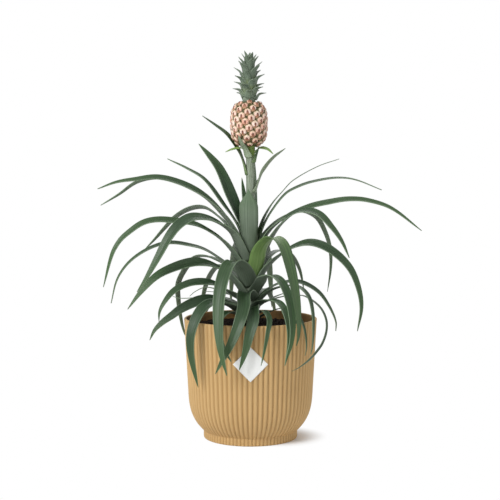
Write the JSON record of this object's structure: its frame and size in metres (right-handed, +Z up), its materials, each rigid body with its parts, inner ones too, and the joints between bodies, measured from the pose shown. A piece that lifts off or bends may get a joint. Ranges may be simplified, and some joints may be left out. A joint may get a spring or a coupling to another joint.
{
  "type": "potted pineapple plant",
  "caption": "Ornamental pineapple plant with a small fruit and leafy crown on a stalk above arching leaves, standing in a round ribbed planter with soil",
  "frame": {"origin": "centre of the planter's flat base, where it stands", "axes": "+Z up along the planter's axis, -Y to the front with the label, +X to the right of the front"},
  "size_m": [0.3385, 0.2403, 0.4043],
  "materials": {
    "planter_plastic": "matt mustard yellow moulded plastic with fine vertical ribs",
    "grow_pot_plastic": "thin black nursery pot plastic",
    "soil": "dark peat and bark crumbs",
    "leaf": "satin dark green above, grey-green and finely striped below",
    "bract": "satin green",
    "stalk": "green with a pale waxy bloom",
    "fruit_skin": "pink and peach eyes with brown and olive outlines",
    "label_paper": "blank smooth white sticker"
  },
  "bodies": {
    "root": {"planter": "planter_plastic", "grow_pot": "grow_pot_plastic", "soil": "soil", "stem": "stalk", "fruit": "fruit_skin", "crown": "leaf", "label": "label_paper", "leaf_01": "leaf", "leaf_02": "leaf", "leaf_03": "leaf", "leaf_04": "leaf", "leaf_05": "leaf", "leaf_06": "leaf", "leaf_07": "leaf", "leaf_08": "leaf", "leaf_09": "leaf", "leaf_10": "leaf", "leaf_11": "leaf", "leaf_12": "leaf", "leaf_13": "leaf", "leaf_14": "leaf", "leaf_15": "leaf", "leaf_16": "leaf", "leaf_17": "leaf", "leaf_18": "leaf", "leaf_19": "leaf", "leaf_20": "leaf", "leaf_21": "leaf", "leaf_22": "leaf", "leaf_23": "leaf", "leaf_24": "leaf", "leaf_25": "leaf", "leaf_26": "leaf", "leaf_27": "leaf", "leaf_28": "leaf", "leaf_29": "leaf", "leaf_30": "leaf", "leaf_31": "leaf", "leaf_32": "leaf", "leaf_33": "leaf", "leaf_34": "leaf", "leaf_35": "leaf", "leaf_36": "leaf", "leaf_37": "leaf", "leaf_38": "leaf", "leaf_39": "leaf", "leaf_40": "leaf", "leaf_41": "leaf", "leaf_42": "leaf", "leaf_43": "leaf", "leaf_44": "leaf", "leaf_45": "leaf", "bract_1": "bract", "bract_2": "bract", "bract_3": "bract", "bract_4": "bract", "bract_5": "bract", "bract_6": "bract"}
  },
  "joints": []
}
